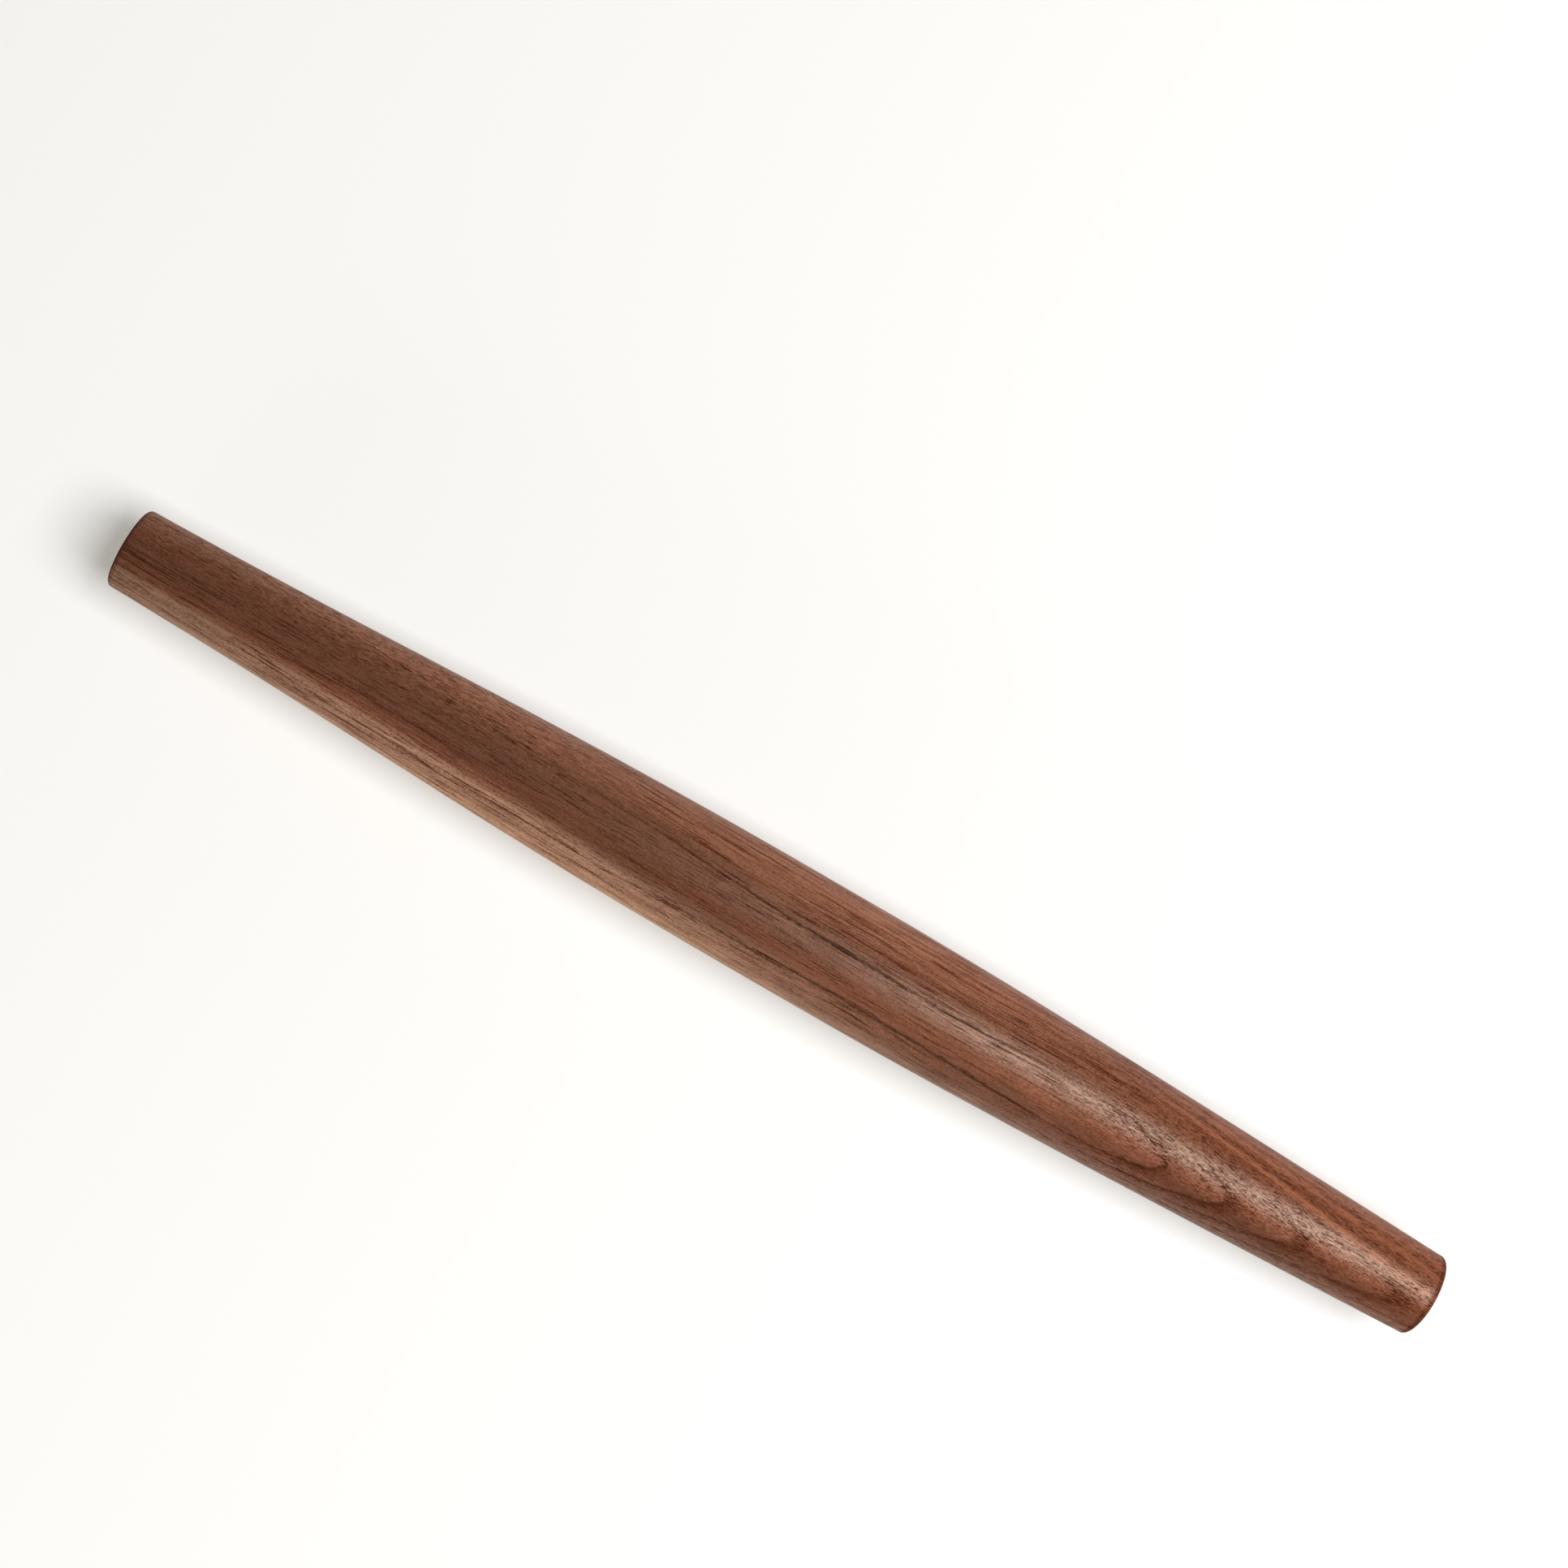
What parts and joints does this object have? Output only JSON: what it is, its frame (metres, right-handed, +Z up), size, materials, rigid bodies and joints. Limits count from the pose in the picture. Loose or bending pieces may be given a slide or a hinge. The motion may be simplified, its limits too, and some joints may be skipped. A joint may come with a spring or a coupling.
{
  "type": "french rolling pin",
  "caption": "Handleless wooden rolling pin, turned from solid walnut: a full barrel with a short straight land, slow tapers to slimmer flat ends, and softly rounded rims.",
  "frame": {"origin": "middle of the pin's axis, halfway between its end faces", "axes": "+X along the pin's axis, towards the short taper; +Z up, with the pin lying on a table"},
  "size_m": [0.52, 0.0442, 0.0442],
  "materials": {
    "walnut": "satin"
  },
  "bodies": {
    "root": {"rolling_pin": "walnut"}
  },
  "joints": []
}
